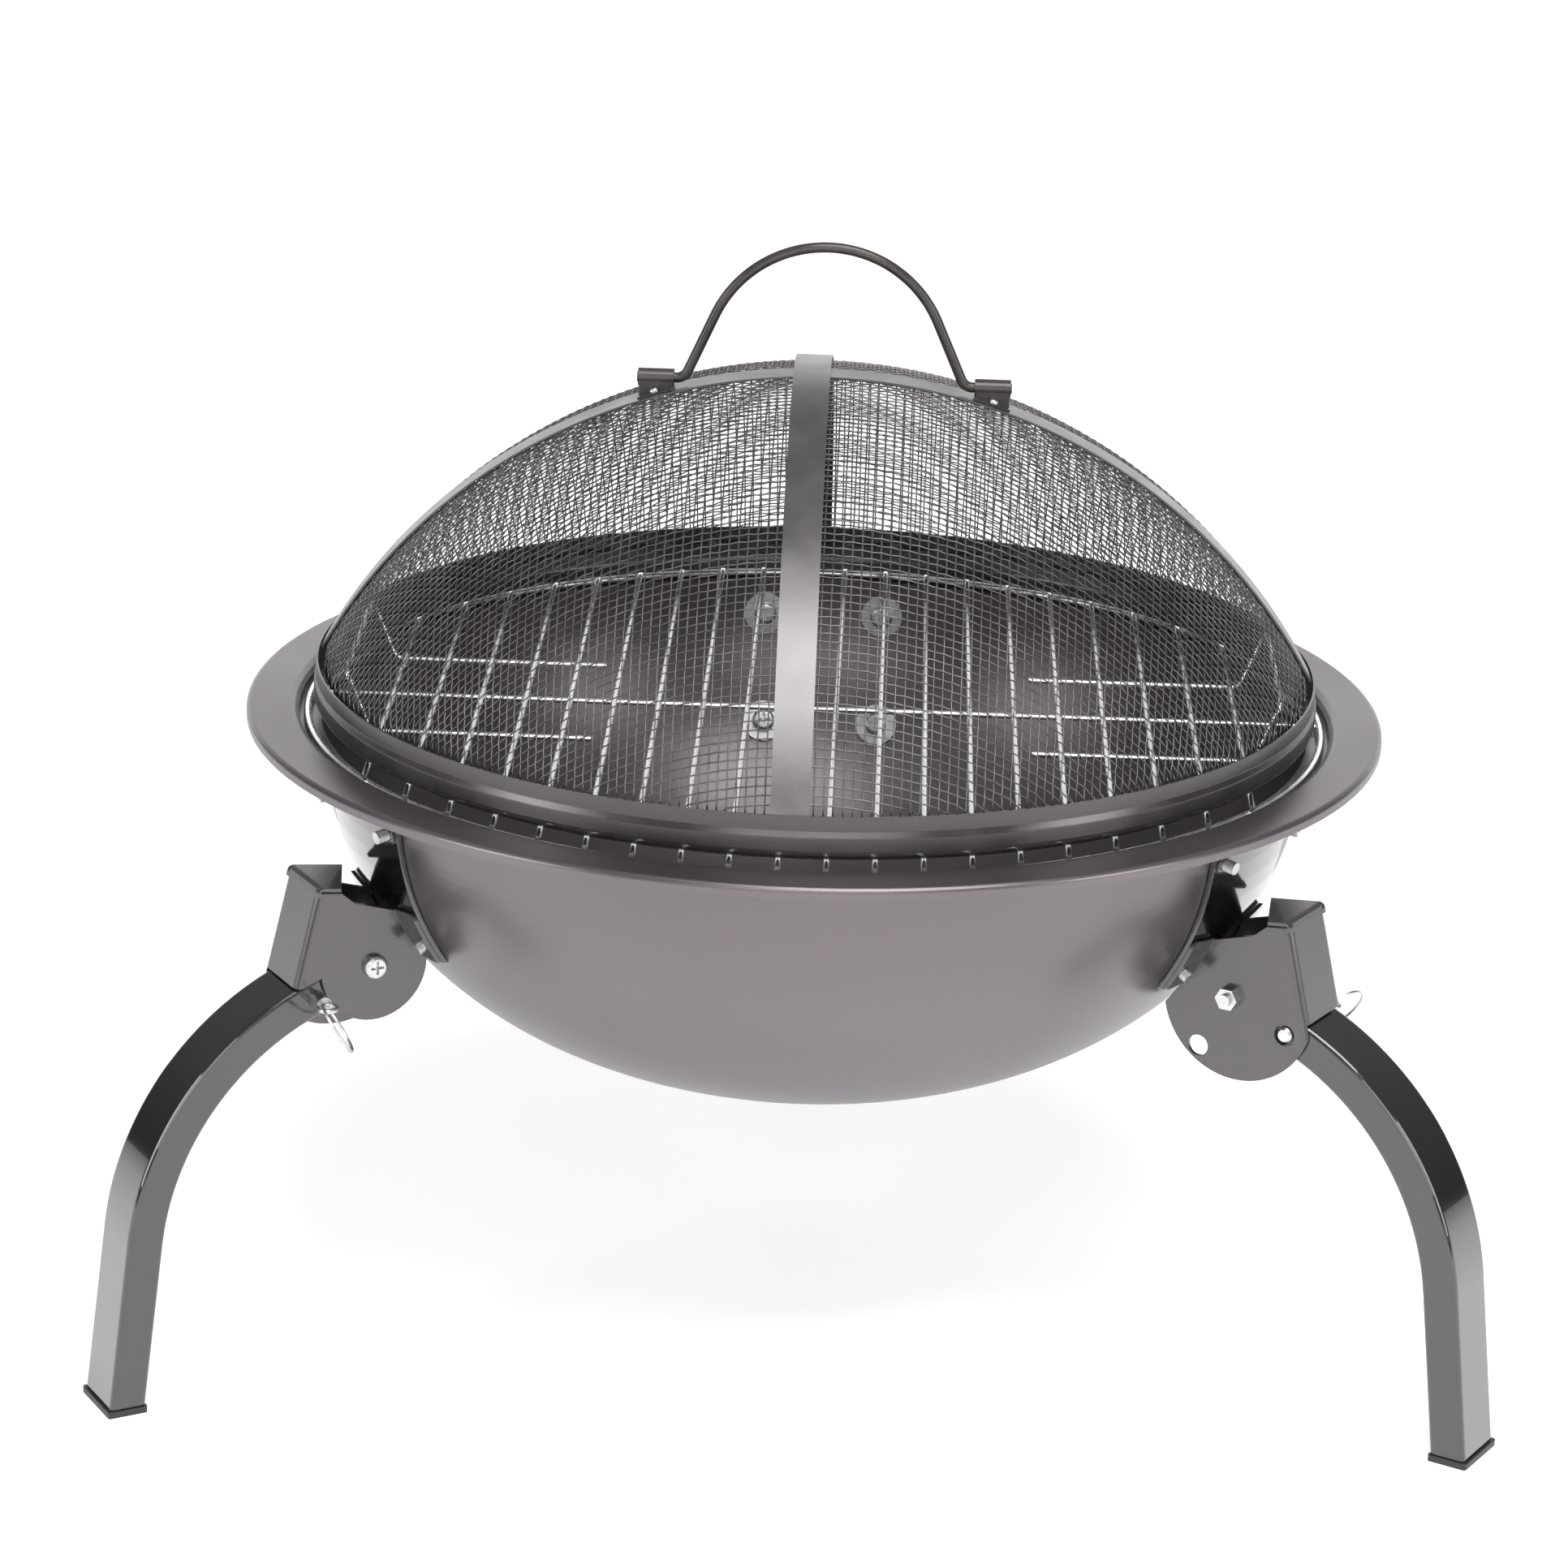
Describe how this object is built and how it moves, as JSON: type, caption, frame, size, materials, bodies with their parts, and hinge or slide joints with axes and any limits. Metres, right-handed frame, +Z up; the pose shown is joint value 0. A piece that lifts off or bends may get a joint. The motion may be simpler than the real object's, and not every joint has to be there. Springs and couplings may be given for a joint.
{
  "type": "portable fire pit with grate",
  "caption": "Round steel fire bowl on folding curved legs, with a wire cooking grate and a domed woven spark screen that lifts off by its handle.",
  "frame": {"origin": "on the floor, under the centre of the bowl", "axes": "+Z up, the front (between the two front legs) faces -Y, one leg points along +Y"},
  "size_m": [0.6798, 0.663, 0.538],
  "materials": {
    "bowl_paint": "satin graphite heat-resistant paint",
    "bracket_paint": "semi-gloss black paint",
    "leg_gloss": "high-gloss black powder coat on legs and backing plates",
    "foot_plastic": "satin black moulded cap",
    "zinc": "bright zinc plating",
    "grate_chrome": "chrome-plated wire",
    "screen_wire": "dark satin wire",
    "screen_paint": "dark grey satin paint",
    "strap_paint": "grey satin paint",
    "handle_paint": "satin black paint"
  },
  "bodies": {
    "root": {"fire_bowl": "bowl_paint", "bracket_plate_left": "leg_gloss", "hinge_box_left": "bracket_paint", "bracket_screws_left": "zinc", "bracket_washers_left": "zinc", "pivot_screw_left": "zinc", "pivot_nut_left": "zinc", "bracket_plate_right": "leg_gloss", "hinge_box_right": "bracket_paint", "bracket_screws_right": "zinc", "bracket_washers_right": "zinc", "pivot_screw_right": "zinc", "pivot_nut_right": "zinc", "bracket_plate_back": "leg_gloss", "hinge_box_back": "bracket_paint", "bracket_screws_back": "zinc", "bracket_washers_back": "zinc", "pivot_screw_back": "zinc", "pivot_nut_back": "zinc"},
    "leg_left": {"leg_tube_left": "leg_gloss", "foot_cap_left": "foot_plastic", "lock_spring_left": "zinc"},
    "pin_left": {"lock_pin_left": "zinc", "lock_pin_tip_left": "zinc"},
    "ring_left": {"pull_ring_left": "zinc"},
    "leg_right": {"leg_tube_right": "leg_gloss", "foot_cap_right": "foot_plastic", "lock_spring_right": "zinc"},
    "pin_right": {"lock_pin_right": "zinc", "lock_pin_tip_right": "zinc"},
    "ring_right": {"pull_ring_right": "zinc"},
    "leg_back": {"leg_tube_back": "leg_gloss", "foot_cap_back": "foot_plastic", "lock_spring_back": "zinc"},
    "pin_back": {"lock_pin_back": "zinc", "lock_pin_tip_back": "zinc"},
    "ring_back": {"pull_ring_back": "zinc"},
    "grate": {"grate_ring": "grate_chrome", "grate_long_bars": "grate_chrome", "grate_cross_bar": "grate_chrome", "grate_handle_left": "grate_chrome", "grate_handle_right": "grate_chrome"},
    "screen": {"screen_mesh": "screen_wire", "screen_ring": "screen_paint", "screen_strap_front_back": "strap_paint", "screen_strap_side": "strap_paint", "handle_clip_left": "handle_paint", "handle_clip_right": "handle_paint", "handle_clip_screws": "zinc", "handle_clip_nuts": "zinc"},
    "handle": {"screen_handle": "handle_paint"}
  },
  "joints": [
    {"name": "leg_fold_left", "type": "hinge", "parent": "root", "child": "leg_left", "pos_m": [-0.21304, -0.123, 0.2105], "axis": [0.5, -0.866, 0], "range_deg": [0, 95], "deforming": ["lock_pin_tip_left"]},
    {"name": "pin_pull_left", "type": "slide", "parent": "leg_left", "child": "pin_left", "axis": [0.5, -0.866, 0], "range_m": [0, 0.007], "stiffness_N_per_m": 500, "springref_m": -0.006, "deforming": ["lock_spring_left"]},
    {"name": "ring_swing_left", "type": "hinge", "parent": "pin_left", "child": "ring_left", "pos_m": [-0.22286, -0.16446, 0.19748], "axis": [-0.866, -0.5, 0], "range_deg": [0, 60]},
    {"name": "leg_fold_right", "type": "hinge", "parent": "root", "child": "leg_right", "pos_m": [0.21304, -0.123, 0.2105], "axis": [0.5, 0.866, 0], "range_deg": [0, 95], "deforming": ["lock_pin_tip_right"]},
    {"name": "pin_pull_right", "type": "slide", "parent": "leg_right", "child": "pin_right", "axis": [0.5, 0.866, 0], "range_m": [0, 0.007], "stiffness_N_per_m": 500, "springref_m": -0.006, "deforming": ["lock_spring_right"]},
    {"name": "ring_swing_right", "type": "hinge", "parent": "pin_right", "child": "ring_right", "pos_m": [0.25386, -0.11077, 0.19748], "axis": [0.866, -0.5, 0], "range_deg": [0, 60]},
    {"name": "leg_fold_back", "type": "hinge", "parent": "root", "child": "leg_back", "pos_m": [0, 0.246, 0.2105], "axis": [-1, 0, 0], "range_deg": [0, 95], "deforming": ["lock_pin_tip_back"]},
    {"name": "pin_pull_back", "type": "slide", "parent": "leg_back", "child": "pin_back", "axis": [-1, 0, 0], "range_m": [0, 0.007], "stiffness_N_per_m": 500, "springref_m": -0.006, "deforming": ["lock_spring_back"]},
    {"name": "ring_swing_back", "type": "hinge", "parent": "pin_back", "child": "ring_back", "pos_m": [-0.031, 0.27523, 0.19748], "axis": [0, 1, 0], "range_deg": [0, 60]},
    {"name": "grate_lift", "type": "slide", "parent": "root", "child": "grate", "axis": [0, 0, 1], "range_m": [0, 0.12]},
    {"name": "screen_lift", "type": "slide", "parent": "grate", "child": "screen", "axis": [0, 0, 1], "range_m": [0, 0.2]},
    {"name": "handle_fold", "type": "hinge", "parent": "screen", "child": "handle", "pos_m": [0, 0, 0.4688], "axis": [1, 0, 0], "range_deg": [-84, 84]}
  ]
}
